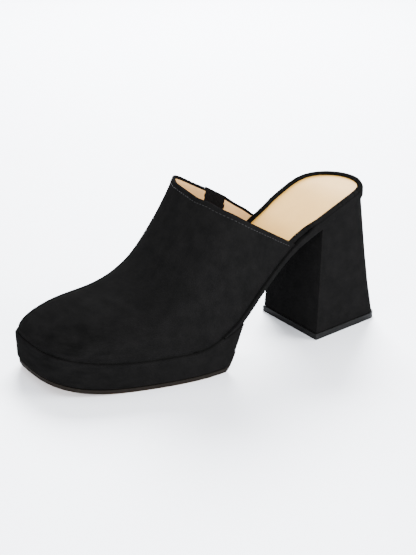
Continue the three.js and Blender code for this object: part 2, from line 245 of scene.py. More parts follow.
def black_suede():
    """Cloudy black, brushed in strokes over the toes and darker there as painted shade, with pores
    and a nap.
    """
    material, shader = new_material("black_suede_finish")
    patches = object_noise(material, 120, detail=4, roughness=0.65)
    fibres = object_noise(material, 2600, detail=2, roughness=0.7)
    strokes = object_noise(material, 95, detail=5, roughness=0.7, stretch=STROKE)
    colour = add_node(material, "ShaderNodeMix", data_type="RGBA")
    wire(material, towards_toe(material), colour.inputs["Factor"])
    wire(material, mottled(material, patches, *SUEDE_TONES), colour.inputs["A"])
    wire(material, mottled(material, strokes, *BRUSHED_AND_SHADED_TONES), colour.inputs["B"])
    wire(material, colour.outputs["Result"], shader.inputs["Base Color"])
    wire(material, spread_between(material, fibres, 0.82, 1.0), shader.inputs["Roughness"])
    shader.inputs["Specular IOR Level"].default_value = 0
    shader.inputs["Sheen Weight"].default_value = 0.004
    shader.inputs["Sheen Roughness"].default_value = 0.45
    shader.inputs["Sheen Tint"].default_value = (0.8, 0.79, 0.78, 1)
    pores = object_noise(material, 700, detail=3)
    layers = [(patches, 0.2, 0.3 * MM), (pores, 0.35, 0.2 * MM), (fibres, 0.5, 0.1 * MM)]
    bumped(material, shader, layers)
    return material


suede = black_suede()
print("suede nodes:", len(suede.node_tree.nodes))

# %% [markdown]
# ## Leather, elastic, rubber
# The sock and the lining are smooth beige leather with a fine grain. The lining's darker, browner
# tone is painted shade of the inside of the vamp. A cell pattern in the bump gives the pebbles of
# the grain, and a broad noise the faint clouds that keep a large smooth face from looking like
# plastic. Elastic, top piece and outsole get a noise of their own scale each: threads, scuffs and
# specks.


# %% Beige leather
def beige_leather(name, dark, pale):
    """Satin leather between two tones, with a pebbled grain."""
    material, shader = new_material(name)
    cloud = object_noise(material, 40, detail=3)
    place = add_node(material, "ShaderNodeTexCoord")
    grain = add_node(material, "ShaderNodeTexVoronoi", Scale=1500)
    grain.feature = "F1"
    wire(material, place.outputs["Object"], grain.inputs["Vector"])
    fine = object_noise(material, 2200, detail=2)
    wire(material, mottled(material, cloud, dark, pale), shader.inputs["Base Color"])
    wire(material, spread_between(material, fine, 0.55, 0.72), shader.inputs["Roughness"])
    shader.inputs["Specular IOR Level"].default_value = 0.1
    shader.inputs["Coat Weight"].default_value = 0.02
    shader.inputs["Coat Roughness"].default_value = 0.4
    pebbles = grain.outputs["Distance"]
    bumped(material, shader, [(cloud, 0.2, 0.5 * MM), (pebbles, 0.25, 0.08 * MM)])
    return material


# The lining's tones are darker and browner than the sock's: painted shade of the inside of the
# vamp.
SOCK_TONES = ((0.45, 0.242, 0.038), (0.51, 0.283, 0.053))
LINING_SHADE_TONES = ((0.36, 0.215, 0.085), (0.42, 0.255, 0.105))
sock_leather = beige_leather("sock_leather_finish", *SOCK_TONES)
shaded_lining_leather = beige_leather("shaded_lining_leather_finish", *LINING_SHADE_TONES)
print("leathers:", sock_leather.name, shaded_lining_leather.name)

# %% Black elastic, top piece and outsole
ELASTIC_TONES = ((0.0016, 0.0016, 0.0017), (0.0036, 0.0036, 0.0038))
TAP_TONES = ((0.0022, 0.0022, 0.0022), (0.0045, 0.0045, 0.0045))
RUBBER_TONES = ((0.155, 0.09, 0.05), (0.21, 0.125, 0.07))
# The outsole's sides are nearly black: painted shade along the edge, which lies in shadow by the
# floor.
EDGE_SHADE = (0.0040, 0.0030, 0.0022, 1)


def black_elastic():
    """Matt woven elastic whose threads run along the ribs."""
    material, shader = new_material("black_elastic_finish")
    weave = object_noise(material, 1800, detail=2, stretch=(1, 1, 0.4))
    wire(material, mottled(material, weave, *ELASTIC_TONES), shader.inputs["Base Color"])
    shader.inputs["Roughness"].default_value = 0.8
    shader.inputs["Specular IOR Level"].default_value = 0.02
    shader.inputs["Sheen Weight"].default_value = 0.005
    bumped(material, shader, [(weave, 0.5, 0.1 * MM)])
    return material


def black_tap():
    """Hard rubber with a slight gloss, scuffed along the shoe."""
    material, shader = new_material("black_tap_finish")
    scuff = object_noise(material, 300, detail=6, stretch=(1, 0.3, 1))
    wire(material, mottled(material, scuff, *TAP_TONES), shader.inputs["Base Color"])
    wire(material, spread_between(material, scuff, 0.34, 0.5), shader.inputs["Roughness"])
    shader.inputs["Specular IOR Level"].default_value = 0.03
    shader.inputs["Coat Weight"].default_value = 0.015
    shader.inputs["Coat Roughness"].default_value = 0.2
    bumped(material, shader, [(scuff, 0.15, 0.1 * MM)])
    return material


def tan_rubber():
    """Tan rubber below, and sides nearly black as painted shade along the edge, told apart by an
    attribute.
    """
    material, shader = new_material("tan_rubber_finish")
    cloud = object_noise(material, 90, detail=5)
    speck = object_noise(material, 1500, detail=2)
    rubber = mottled(material, cloud, *RUBBER_TONES)
    under = add_node(material, "ShaderNodeAttribute", attribute_name="underside")
    painted = add_node(material, "ShaderNodeMix", data_type="RGBA")
    painted.inputs["A"].default_value = EDGE_SHADE
    wire(material, under.outputs["Fac"], painted.inputs["Factor"])
    wire(material, rubber, painted.inputs["B"])
    wire(material, painted.outputs["Result"], shader.inputs["Base Color"])
    wire(material, spread_between(material, speck, 0.7, 0.9), shader.inputs["Roughness"])
    shader.inputs["Specular IOR Level"].default_value = 0.06
    bumped(material, shader, [(cloud, 0.15, 0.2 * MM), (speck, 0.3, 0.1 * MM)])
    return material


elastic = black_elastic()
tap = black_tap()
sole_rubber = tan_rubber()
print("finishes:", ", ".join(m.name for m in bpy.data.materials))

# %% [markdown]
# ## A copy of a solid to work on
# A solid arrives as loose triangles, each with three corners of its own. It could be dressed as it
# is, but only a mesh whose corners are merged can be bevelled or cut as one skin. So the work is
# done on merged copies, and the solids themselves are left as they came.

# %% Copies of the solids
MERGE = 0.02 * MM
SLIVER = 0.01 * MM


def merged_copy(name):
    """A bmesh of a CAD node with its corners merged."""
    bm = bmesh.new()
    bm.from_mesh(nodes[name].data)
    bmesh.ops.remove_doubles(bm, verts=bm.verts, dist=MERGE)
    bmesh.ops.dissolve_degenerate(bm, dist=SLIVER, edges=bm.edges)
    return bm


for name in sorted(nodes):
    trial = merged_copy(name)
    print(name, "has", len(trial.verts), "corners")
    trial.free()

# %% [markdown]
# ## The skin of the vamp
# The vamp is one sheet of suede pulled over a last. It could be a thinned copy of the solid, but
# the solid's triangles run where they like, and folds and stitches want rows that follow the edge.
# So its surface is measured: flat slices parallel to the topline go forward from it, and past the
# ball they fan down over the toe box. In every slice a fan of rays comes in from outside and stops
# on the leather. A plain grid is then laid on those points, so its rows run like seams and its
# columns run from the topline to the toe.

# %% Solids to measure
upper_solid = merged_copy("upper")
upper_tree = BVHTree.FromBMesh(upper_solid)
gore_solid = merged_copy("elastic_gore")
gore_tree = BVHTree.FromBMesh(gore_solid)
print("upper:", len(upper_solid.faces), "faces, gore:", len(gore_solid.faces), "faces")

# %% The topline's plane
corners = [v.co.copy() for v in upper_solid.verts]
wing_lateral = min((c for c in corners if c.x < 0), key=lambda c: (round(c.y, 5), c.x))
wing_medial = min((c for c in corners if c.x > 0), key=lambda c: (round(c.y, 5), -c.x))
peak = max(corners, key=lambda c: c.z)
topline_normal = (wing_medial - wing_lateral).cross(peak - wing_lateral).normalized()
if topline_normal.y < 0:
    topline_normal.negate()
print("peak in mm:", [round(v / MM, 1) for v in peak])

# %% The feather line, where the vamp meets the board
FOOT_BAND = 0.5 * MM
LIFT = 0.4 * MM
WING_MARGIN = 1.5 * MM
FEATHER_STEP = 4 * MM
SEARCH = 10 * MM
HALVINGS = 30
INSIDE_TOPLINE = 0.15 * MM
TOUCH = 1e-6


def measured_feather(y):
    """Middle of the vamp's foot in the cross section at y, and half its width there."""
    bm = upper_solid.copy()
    everything = bm.verts[:] + bm.edges[:] + bm.faces[:]
    cut = bmesh.ops.bisect_plane(
        bm, geom=everything, dist=TOUCH, plane_co=(0, y, 0), plane_no=(0, 1, 0)
    )
    points = [g.co.copy() for g in cut["geom_cut"] if isinstance(g, bmesh.types.BMVert)]
    bm.free()
    low = min(p.z for p in points)
    foot = [p.x for p in points if p.z < low + FOOT_BAND]
    middle = (min(foot) + max(foot)) / 2
    return Vector((middle, y, low + LIFT)), (max(foot) - min(foot)) / 2


both_wings = max(wing_lateral.y, wing_medial.y) + WING_MARGIN
first_foot, first_half = measured_feather(both_wings)
second_foot, second_half = measured_feather(both_wings + FEATHER_STEP)


def feather_at(y):
    """The same line, carried on straight past the place where both wings have begun."""
    if y >= both_wings:
        return measured_feather(y)
    share = (y - both_wings) / FEATHER_STEP
    return first_foot.lerp(second_foot, share), first_half + (second_half - first_half) * share


def first_slice():
    """Where the middle line passes just inside the topline's plane."""
    low, high = wing_medial.y - SEARCH, both_wings + SEARCH
    for _ in range(HALVINGS):
        middle = (low + high) / 2
        if (feather_at(middle)[0] - peak).dot(topline_normal) < INSIDE_TOPLINE:
            low = middle
        else:
            high = middle
    return high


wing_y = first_slice()
print("the first slice starts at", round(wing_y / MM, 1), "mm")

# %% Rays onto the skin
RAY = 200 * MM
GORE_RECESS = 0.55 * MM
DENT = 0.3 * MM


def skin_hit(centre, direction):
    """Distance from a centre to the outside of the vamp, or None where there is none."""
    start = centre + direction * RAY
    wall = upper_tree.ray_cast(start, -direction, RAY)
    gore = gore_tree.ray_cast(start, -direction, RAY)
    if gore[0] is not None and (wall[0] is None or gore[3] < wall[3]):
        return RAY - gore[3] + GORE_RECESS
    return None if wall[0] is None else RAY - wall[3]


def mended(reach):
    """Fills the few rays that slipped past the edge of the gore from their neighbours."""
    known = [i for i, r in enumerate(reach) if r is not None]
    for i, r in enumerate(reach):
        if r is None:
            before = max((k for k in known if k < i), default=known[0])
            after = min((k for k in known if k > i), default=known[-1])
            share = (i - before) / max(after - before, 1)
            reach[i] = reach[before] * (1 - share) + reach[after] * share
    for i in range(1, len(reach) - 1):
        even = (reach[i - 1] + reach[i + 1]) / 2
        if even - reach[i] > DENT:
            reach[i] = even
    return reach


upper_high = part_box("upper")[1]
ahead_of_wings = measured_feather(upper_high.y / 2)[0]
vamp_height = skin_hit(ahead_of_wings, Vector((0, 0, 1)))
print("height of the vamp halfway to the toe in mm:", round(vamp_height / MM, 1))

# %% Slices from the topline to the toe
COLUMNS = 96
SLICES = 54
FAN = 30
TOE_TURN = 45 * MM
FOLD = 1.0 * MM
ROUND_FOOT = 2 * MM
toe_start = upper_high.y - TOE_TURN


def slice_axes(y):
    """Centre, half width, sideways, upward and ground directions of the slice at y."""
    centre, half = feather_at(y)
    behind, _ = feather_at(y - ROUND_FOOT)
    ahead, _ = feather_at(y + ROUND_FOOT)
    slope = (ahead.z - behind.z) / (ahead.y - behind.y)
    ground = Vector((0, -slope, 1)).normalized()
    sideways = topline_normal.cross(ground).normalized()
    if sideways.x < 0:
        sideways.negate()
    upward = topline_normal.cross(sideways).normalized()
    if upward.z < 0:
        upward.negate()
    return centre, half, sideways, upward, ground


def fan_directions(sideways, upward, half, height):
    """Directions from the outer foot of a slice, over its top, to the inner foot."""
    turns = [math.pi * j / COLUMNS for j in range(COLUMNS + 1)]
    return [
        (-sideways * half * math.cos(a) + upward * height * math.sin(a)).normalized()
        for a in turns
    ]


skin_rows = []
run_of_slices = toe_start - wing_y - FOLD
starts = [wing_y] + [wing_y + FOLD + run_of_slices * k / (SLICES - 1) for k in range(SLICES)]
for y in starts:
    centre, half, sideways, upward, ground = slice_axes(y)
    height = skin_hit(centre, upward)
    directions = fan_directions(sideways, upward, half, height)
    reach = mended([skin_hit(centre, d) for d in directions])
    skin_rows.append([centre + d * r for d, r in zip(directions, reach)])
print("slices:", len(skin_rows))

# %% The fan over the toe box
SWING = math.radians(58)
LOWEST = math.radians(-12)
TOE_HALVINGS = 14
OUTWARDS = 0.3
LEAN_POWER = 0.2
forward = sideways.cross(ground).normalized()
if forward.y < 0:
    forward.negate()
first_turn = math.atan2(upward.dot(ground), upward.dot(forward))


def aimed(azimuth, elevation):
    """A direction by its angle in plan, from the inner side on, and its angle over the board."""
    flat = sideways * math.cos(azimuth) + forward * math.sin(azimuth)
    return flat * math.cos(elevation) + ground * math.sin(elevation)


def meets_outside(aim):
    """Whether a ray meets the outside of the toe box and not its underside."""
    hit = upper_tree.ray_cast(centre + aim * RAY, -aim, RAY)
    return hit[0] is not None and hit[1].dot(aim) > OUTWARDS


def foot_elevation(azimuth):
    """The lowest angle at which a ray still meets the toe box over its foot."""
    low, high = LOWEST, first_turn
    for _ in range(TOE_HALVINGS):
        middle = (low + high) / 2
        if meets_outside(aimed(azimuth, middle)):
            high = middle
        else:
            low = middle
    return high


def toe_direction(j, share):
    """Row ends swing forward along the foot while the rows lean down to it."""
    a = math.pi * j / COLUMNS
    turn = first_turn * (1 - share)
    leaning = forward * math.cos(turn) + ground * math.sin(turn)
    across = -sideways * math.cos(a) * math.cos(SWING * share) + forward * math.sin(SWING * share)
    aim = (across * half + leaning * height * math.sin(a)).normalized()
    azimuth = math.atan2(aim.dot(forward), aim.dot(sideways))
    elevation = math.asin(aim.dot(ground))
    weight = 1 - (1 - share) * math.sin(a) ** LEAN_POWER
    return aimed(azimuth, elevation + foot_elevation(azimuth) * weight)


for k in range(1, FAN + 1):
    directions = [toe_direction(j, k / FAN) for j in range(COLUMNS + 1)]
    reach = mended([skin_hit(centre, d) for d in directions])
    skin_rows.append([centre + d * r for d, r in zip(directions, reach)])
print("skin:", len(skin_rows), "rows of", COLUMNS + 1, "points")

# %% [markdown]
# ## The drawn topline
# On the real shoe the folded edge is not quite flat: it is scooped a little over the instep and
# stands up a little on the inner side, round the gore. A cut along a curve would leave short
# faces at the edge, so the rows near it are slid along their columns by a few millimetres instead,
# and the slide fades out a few centimetres down the vamp. Each pair is a column and a drop in mm.

# %% Sliding the topline
OUTER_SCOOP = [(15, 0), (24, 1.4), (40, 3.4), (66, 3.4)]
INNER_SCOOP = [(72, 2.2), (77, 0), (83, -2.6), (90, -1.5), (96, 0)]
SCOOP = OUTER_SCOOP + INNER_SCOOP
SCOOP_ROWS = 12
SCOOP_FADE = 1.5
EDGE_ROWS = 3


def scoop_at(column):
    """How far the edge lies below the flat topline, in metres, along one column."""
    for (left, low), (right, high) in zip(SCOOP, SCOOP[1:]):
        if left <= column <= right:
            share = (column - left) / (right - left)
            share = share * share * (3 - 2 * share)
            return (low + (high - low) * share) * MM
    return 0


def along_column(j, distance):
    """The point at a distance down one column of the skin, or before its start."""
    if distance < 0:
        start = skin_rows[0][j]
        return start + (start - skin_rows[EDGE_ROWS][j]).normalized() * -distance
    for k in range(1, SLICES):
        step = (skin_rows[k][j] - skin_rows[k - 1][j]).length
        if distance <= step:
            return skin_rows[k - 1][j].lerp(skin_rows[k][j], distance / step)
        distance -= step
    return skin_rows[SLICES][j]


slid = [list(row) for row in skin_rows]
for j in range(COLUMNS + 1):
    run = [0]
    for k in range(1, SCOOP_ROWS + 1):
        run.append(run[-1] + (skin_rows[k][j] - skin_rows[k - 1][j]).length)
    for k in range(SCOOP_ROWS):
        fade = (1 - run[k] / run[-1]) ** SCOOP_FADE
        slid[k][j] = along_column(j, run[k] + scoop_at(j) * fade)
skin_rows = slid
drops = [scoop_at(j) / MM for j in range(COLUMNS + 1)]
print("topline lowered by", round(min(drops), 1), "to", round(max(drops), 1), "mm")

# %% [markdown]
# ## The grid and its creases
# A flat grid has one vertex for each measured point, and each vertex goes to its point. A few
# rounds of smoothing take out the marks of the solid's facets. Where the foot bends, just behind
# the toes, suede keeps soft creases. They are pressed in along the normals, each one a trough or a
# ridge that fades out to its sides and ends: middle row, slant, middle column, half length, depth.

# %% A grid laid on the points
ROWS = SLICES + FAN
SMOOTHINGS = 8
CREASES = [
    (31.0, 0.10, 42, 13, 0.45 * MM),
    (35.5, 0.15, 39, 11, 0.35 * MM),
    (33.3, 0.12, 41, 12, -0.20 * MM),
    (29.5, -0.08, 60, 10, 0.25 * MM),
]
CREASE_WIDTH = 1.3


def crease_depth(row, column):
    """How far the creases press the skin in at a row and column."""
    depth = 0
    for middle, slant, along, half_length, deep in CREASES:
        off = (row - middle - slant * (column - along)) / CREASE_WIDTH
        far = (column - along) / half_length
        depth += deep * math.exp(-off * off - far * far)
    return depth


def skin_grid():
    """The outside of the vamp as an open sheet, with its row and column kept on each vertex."""
    bm = bmesh.new()
    bmesh.ops.create_grid(bm, x_segments=COLUMNS, y_segments=ROWS, size=1)
    row_mark = bm.verts.layers.float.new("row")
    column_mark = bm.verts.layers.float.new("column")
    for vert in bm.verts:
        j = round((vert.co.x + 1) / 2 * COLUMNS)
        k = round((vert.co.y + 1) / 2 * ROWS)
        vert[row_mark] = k
        vert[column_mark] = j
        vert.co = skin_rows[k][j]
    inner = [v for v in bm.verts if not v.is_boundary]
    for _ in range(SMOOTHINGS):
        bmesh.ops.smooth_vert(
            bm, verts=inner, factor=0.5, use_axis_x=True, use_axis_y=True, use_axis_z=True
        )
    bmesh.ops.recalc_face_normals(bm, faces=bm.faces)
    if sum(f.normal.z for f in bm.faces) < 0:
        bmesh.ops.reverse_faces(bm, faces=bm.faces)
    bm.normal_update()
    moves = [(v, v.co - v.normal * crease_depth(v[row_mark], v[column_mark])) for v in bm.verts]
    for vert, place in moves:
        vert.co = place
    bm.normal_update()
    return bm


def sunk(bm, depth):
    """Moves a sheet inwards along its own normals."""
    moves = [(v, v.co - v.normal * depth) for v in bm.verts]
    for vert, place in moves:
        vert.co = place
    return bm


print("grid:", ROWS, "rows by", COLUMNS, "columns")

# %% [markdown]
# ## The window of the gore
# On the inner side a strip of elastic is let into the topline, so that the foot slips in. The
# window for it has three straight sides, at the back, the front and the foot, taken from the
# gore's solid. A boolean would cut it too, but three bisects keep the grid clean around it.

# %% Planes of the window
WINDOW_REACH = 30 * MM
gore_corners = [v.co.copy() for v in gore_solid.verts]
gore_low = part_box("elastic_gore")[0]
foot_row = [c for c in gore_corners if c.z < gore_low.z + FOOT_BAND]
foot_back = min(foot_row, key=lambda c: c.y)
foot_front = max(foot_row, key=lambda c: c.y)
top_back = min(gore_corners, key=lambda c: c.y)
top_front = max(gore_corners, key=lambda c: c.z)


def gore_planes(grow):
    """The back, front and foot of the window as (point, normal that points out of it)."""
    back = Vector((0, top_back.y - foot_back.y, top_back.z - foot_back.z)).normalized()
    front = Vector((0, top_front.y - foot_front.y, top_front.z - foot_front.z)).normalized()
    back_normal = Vector((0, -back.z, back.y))
    front_normal = Vector((0, front.z, -front.y))
    down = Vector((0, 0, -1))
    return [
        (foot_back + back_normal * grow, back_normal),
        (foot_front + front_normal * grow, front_normal),
        (foot_back + down * grow, down),
    ]


def near_window(face):
    """Whether a face lies on the inner side, not far from the window."""
    middle = face.calc_center_median()
    return middle.x > 0 and abs(middle.y - foot_back.y) < WINDOW_REACH


def with_window(bm, grow):
    """Cuts the gore's window into the inner side of a sheet."""
    planes = gore_planes(grow)
    near = [f for f in bm.faces if near_window(f)]
    for point, normal in planes:
        geometry = set(near)
        for face in near:
            geometry.update(face.edges)
            geometry.update(face.verts)
        made = bmesh.ops.bisect_plane(
            bm, geom=list(geometry), dist=TOUCH, plane_co=point, plane_no=normal
        )
        near = [g for g in made["geom"] if isinstance(g, bmesh.types.BMFace) and g.is_valid]
    inside = [
        f for f in near if all((f.calc_center_median() - p).dot(n) < 0 for p, n in planes)
    ]
    bmesh.ops.delete(bm, geom=inside, context="FACES")
    return bm


print("gore window in mm:", round((top_front - top_back).length / MM, 1), "wide")

# %% [markdown]
# ## Vamp, lining and gore
# Suede outside, beige leather inside, glued together with the gore between them. Both sheets
# get their thickness from a Solidify modifier, and a small bevel makes the folded edge. Two sheets
# cost more faces than one, but the pale lining then shows at the edge as it does on the shoe.


# %% From a bmesh to a piece
def finished(bm, name, material, slot, *replaced):
    """Puts a bmesh into the scene as a smooth piece that rides on the shoe."""
    mesh = bpy.data.meshes.new(name)
    for face in bm.faces:
        face.smooth = True
    bm.to_mesh(mesh)
    bm.free()
    piece = bpy.data.objects.new(name, mesh)
    bpy.context.scene.collection.objects.link(piece)
    mesh.materials.append(material)
    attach(piece, "root")
    if replaced:
        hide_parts(*replaced)
    print(name, len(mesh.polygons), "faces")
    return piece


# %% Thickness and folded edges
FOLD_SEGMENTS = 3
FOLD_ANGLE = math.radians(55)
TUCK_SHARE = 0.3


def thickened(piece, thickness, fold):
    """Gives a sheet its thickness inwards and rounds its edges."""
    solidify = piece.modifiers.new("thickness", "SOLIDIFY")
    solidify.thickness = thickness
    solidify.offset = -1
    bevel = piece.modifiers.new("folded_edge", "BEVEL")
    bevel.width = fold
    bevel.segments = FOLD_SEGMENTS
    bevel.limit_method = "ANGLE"
    bevel.angle_limit = FOLD_ANGLE
    return piece


def footed(bm, drop, tuck=0):
    """Lets the sheet's foot down onto the board and the ledge, and tucks it in under itself."""
    column_mark = bm.verts.layers.float["column"]
    row_mark = bm.verts.layers.float["row"]
    on_foot = {v for v in bm.verts if v[column_mark] in (0, COLUMNS) or v[row_mark] == ROWS}
    foot = [e for e in bm.edges if e.is_boundary and on_foot.issuperset(e.verts)]
    made = bmesh.ops.extrude_edge_only(bm, edges=foot)
    low = [g for g in made["geom"] if isinstance(g, bmesh.types.BMVert)]
    bm.normal_update()
    for vert in on_foot:
        vert.co -= vert.normal * tuck * TUCK_SHARE
    for vert in low:
        vert.co -= vert.normal * tuck
    bmesh.ops.translate(bm, verts=low, vec=(0, 0, -drop))
    return bm


print("a folded edge turns in", FOLD_SEGMENTS, "steps")

# %% Suede vamp
SUEDE = 1.1 * MM
SEAM_GROW = 0.3 * MM
FOOT_DROP = 1.1 * MM
FOOT_TUCK = 0.9 * MM
vamp_sheet = footed(with_window(skin_grid(), SEAM_GROW), FOOT_DROP, FOOT_TUCK)
vamp = finished(vamp_sheet, "vamp", suede, "black_suede", "upper")
thickened(vamp, SUEDE, 0.35 * MM)

# %% Lining
LINING = 0.9 * MM
LINING_GROW = 0.8 * MM
GLUE = 0.05 * MM
SIDE_COLUMNS = 4
TOE_ROWS = 6


def trimmed(bm, keep):
    """Keeps the faces whose row and column, at their middle, pass a test."""
    row_mark = bm.verts.layers.float["row"]
    column_mark = bm.verts.layers.float["column"]

    def middle(face, mark):
        return sum(v[mark] for v in face.verts) / len(face.verts)

    gone = [f for f in bm.faces if not keep(middle(f, row_mark), middle(f, column_mark))]
    bmesh.ops.delete(bm, geom=gone, context="FACES")
    return bm


def lined(row, column):
    """The lining starts under the fold and stops short of the foot, where the sock hides it."""
    beside = SIDE_COLUMNS < column < COLUMNS - SIDE_COLUMNS or row < SLICES
    return 1 < row < ROWS - TOE_ROWS and beside


lining_sheet = with_window(trimmed(skin_grid(), lined), LINING_GROW)
lining_sheet = footed(sunk(lining_sheet, SUEDE + GLUE), 0.4 * MM)
lining = finished(lining_sheet, "vamp_lining", shaded_lining_leather, "beige_leather", "upper")
thickened(lining, LINING, 0.2 * MM)

# %% Folded edge of the topline
WALL = 2.2 * MM
fold_sheet = trimmed(skin_grid(), lambda row, column: row < 1)
fold_sheet = sunk(with_window(fold_sheet, SEAM_GROW), SUEDE)
fold = finished(fold_sheet, "topline_fold", suede, "black_suede", "upper")
thickened(fold, WALL - SUEDE, 0.3 * MM)

# %% Elastic gore
RIB_PITCH = 1.0 * MM
RIB_HEIGHT = 0.16 * MM
GORE_MARGIN = 1.4 * MM
GORE_ACROSS = 90
GORE_ALONG = 36
NEAR_BACK, NEAR_FRONT = 0.06, 0.94
NEAR_FOOT, NEAR_TOP = 0.04, 0.95


def window_place(u, v):
    """A point of the window's plane by its shares from back to front and from the foot upwards."""
    return foot_back.lerp(top_back, v).lerp(foot_front.lerp(top_front, v), u)


def scooped(place):
    """How far the drawn topline stands above the flat one near a place."""
    nearest = min(range(COLUMNS // 2, COLUMNS), key=lambda j: (skin_rows[0][j] - place).length)
    return -scoop_at(nearest)


def gore_surface(u, v):
    """The sideways place of the gore's outside, carried on straight past the solid's edges."""
    inner_u = min(max(u, NEAR_BACK), NEAR_FRONT)
    inner_v = min(max(v, NEAR_FOOT), NEAR_TOP)

    def measured(a, b):
        place = window_place(a, b)
        start = Vector((RAY, place.y, place.z))
        return gore_tree.ray_cast(start, Vector((-1, 0, 0)), 2 * RAY)[0].x

    middle = measured(inner_u, inner_v)
    across = measured(NEAR_FRONT, inner_v) - measured(NEAR_BACK, inner_v)
    upward = measured(inner_u, NEAR_TOP) - measured(inner_u, NEAR_FOOT)
    past_u = across * (u - inner_u) / (NEAR_FRONT - NEAR_BACK)
    past_v = upward * (v - inner_v) / (NEAR_TOP - NEAR_FOOT)
    return middle + past_u + past_v


def gore_sheet():
    """A ribbed strip laid on the outside of the gore solid and carried up to the drawn topline."""
    bm = bmesh.new()
    bmesh.ops.create_grid(bm, x_segments=GORE_ACROSS, y_segments=GORE_ALONG, size=1)
    tall = (top_back - foot_back).length
    rises = (scooped(top_back) / tall, scooped(top_front) / tall)
    grow = GORE_MARGIN / tall
    for vert in bm.verts:
        u, v = (vert.co.x + 1) / 2, (vert.co.y + 1) / 2
        v = -grow + v * (1 + grow + rises[0] + (rises[1] - rises[0]) * u)
        width = (window_place(1, v) - window_place(0, v)).length
        u = u + GORE_MARGIN / width * (2 * u - 1)
        place = window_place(u, v)
        rib = RIB_HEIGHT * abs(math.sin(math.pi * u * width / RIB_PITCH))
        vert.co = Vector((gore_surface(u, v) - RIB_HEIGHT + rib, place.y, place.z))
    bmesh.ops.recalc_face_normals(bm, faces=bm.faces)
    if sum(f.normal.x for f in bm.faces) < 0:
        bmesh.ops.reverse_faces(bm, faces=bm.faces)
    bm.normal_update()
    return bm


gore = finished(gore_sheet(), "gore_elastic", elastic, "black_elastic", "elastic_gore")
thickened(gore, 1.1 * MM, 0.15 * MM)

# %% [markdown]
# ## Stitches
# One row of black thread holds the folded topline, 3 mm from its edge, and one row holds the gore.
# A bump pattern would vanish at the outline and in the exported mesh, so each stitch is real: a
# small stretched ball of few faces that lies along its row, half sunk in the nap.

# %% Stitch rows
PITCH = 2.6 * MM
STITCH = Vector((1.0, 0.28, 0.22)) * MM
EDGE_GAP = 3.0 * MM
WINDOW_GAP = 1.9 * MM
STITCH_CLEAR = 0.6 * MM
STEPS_PER_STITCH = 4


def spaced(points, pitch):
    """Places at an even pitch along a line of points, each with the line's direction there."""
    places, left = [], pitch / 2
    for before, after in zip(points, points[1:]):
        step = (after - before).length
        while left < step:
            places.append((before.lerp(after, left / step), (after - before).normalized()))
            left += pitch
        left -= step
    return places


def beside_window(place):
    """Whether a place lies on the gore or nearly so."""
    planes = gore_planes(WINDOW_GAP + STITCH_CLEAR)
    return place.x > 0 and all((place - p).dot(n) < 0 for p, n in planes)


def on_vamp(y, z):
    """Where a line from the inner side of the foot meets the vamp."""
    hit = upper_tree.ray_cast(Vector((RAY, y, z)), Vector((-1, 0, 0)), 2 * RAY)
    return hit[0]


topline_row = [along_column(j, EDGE_GAP) for j in range(1, COLUMNS)]
stitches = [(p, t) for p, t in spaced(topline_row, PITCH) if not beside_window(p)]


def seam_ends(low, side):
    """The foot and the head of the row beside one side of the window."""
    line = side.normalized()
    return low - line * WINDOW_GAP, low + line * (side.length - EDGE_GAP)


back_plane, front_plane, _ = gore_planes(WINDOW_GAP)
back_ends = seam_ends(back_plane[0], top_back - foot_back)
front_ends = seam_ends(front_plane[0], top_front - foot_front)
for first, last in (back_ends, front_ends, (back_ends[0], front_ends[0])):
    steps = round((last - first).length / PITCH) * STEPS_PER_STITCH
    line = [first.lerp(last, i / steps) for i in range(steps + 1)]
    laid = [on_vamp(q.y, q.z) for q in line]
    stitches += spaced([q for q in laid if q is not None], PITCH)
print(len(stitches), "stitches")

# %% Thread and stitches
THREAD_TONES = ((0.0022, 0.0022, 0.0022), (0.0050, 0.0050, 0.0050))
BALL_SIDES = 8
BALL_RINGS = 6


def stitch_mesh(rows):
    """All stitches as one bmesh of stretched balls."""
    bm = bmesh.new()
    for place, direction in rows:
        normal = upper_tree.find_nearest(place)[1]
        across = normal.cross(direction).normalized()
        lift = direction.cross(across).normalized()
        turn = Matrix((direction, across, lift)).transposed().to_4x4()
        laid_down = Matrix.Translation(place) @ turn @ Matrix.Diagonal((*STITCH, 1))
        bmesh.ops.create_uvsphere(
            bm, u_segments=BALL_SIDES, v_segments=BALL_RINGS, radius=1, matrix=laid_down
        )
    return bm


def black_thread():
    """Waxed thread, a little smoother than the suede."""
    material, shader = new_material("black_thread_finish")
    twist = object_noise(material, 1600, detail=2)
    wire(material, mottled(material, twist, *THREAD_TONES), shader.inputs["Base Color"])
    shader.inputs["Roughness"].default_value = 0.6
    shader.inputs["Specular IOR Level"].default_value = 0.12
    bumped(material, shader, [(twist, 0.4, 0.1 * MM)])
    return material


thread = black_thread()
stitching = finished(stitch_mesh(stitches), "stitching", thread, "black_suede")

# %% [markdown]
# ## Sock, board, platform, heel and soles
# These solids already have the right shape. Their sharp edges are rounded as wrapped leather or
# cut rubber is: 1 mm where suede is pulled over an edge, less than half of that on cut rubber. A
# bevel of the mesh was chosen over a bevel in the shading, because it changes the outline too.
# Pairs of flat triangles become quads first, so that the bevel has clean corners to turn.


# %% Quads and bevels
def as_quads(bm):
    """Joins pairs of flat triangles."""
    bmesh.ops.join_triangles(
        bm, faces=bm.faces, angle_face_threshold=0.5, angle_shape_threshold=1.0, cmp_seam=False
    )
    return bm


def sharp_edges(bm, degrees):
    """Edges between two faces that turn by more than an angle."""
    limit = math.radians(degrees)
    return [e for e in bm.edges if len(e.link_faces) == 2 and e.calc_face_angle(0) > limit]


def rounded(bm, degrees, width, segments=3):
    """Rounds the edges that turn by more than an angle."""
    bmesh.ops.bevel(
        bm, geom=sharp_edges(bm, degrees), offset=width, offset_type="OFFSET", segments=segments,
        profile=0.5, affect="EDGES", clamp_overlap=True, material=-1,
    )
    return bm


trial = as_quads(merged_copy("platform"))
print("sharp edges of the platform:", len(sharp_edges(trial, 60)))
trial.free()

# %% Rounded copies
FACES_DOWN = -0.7


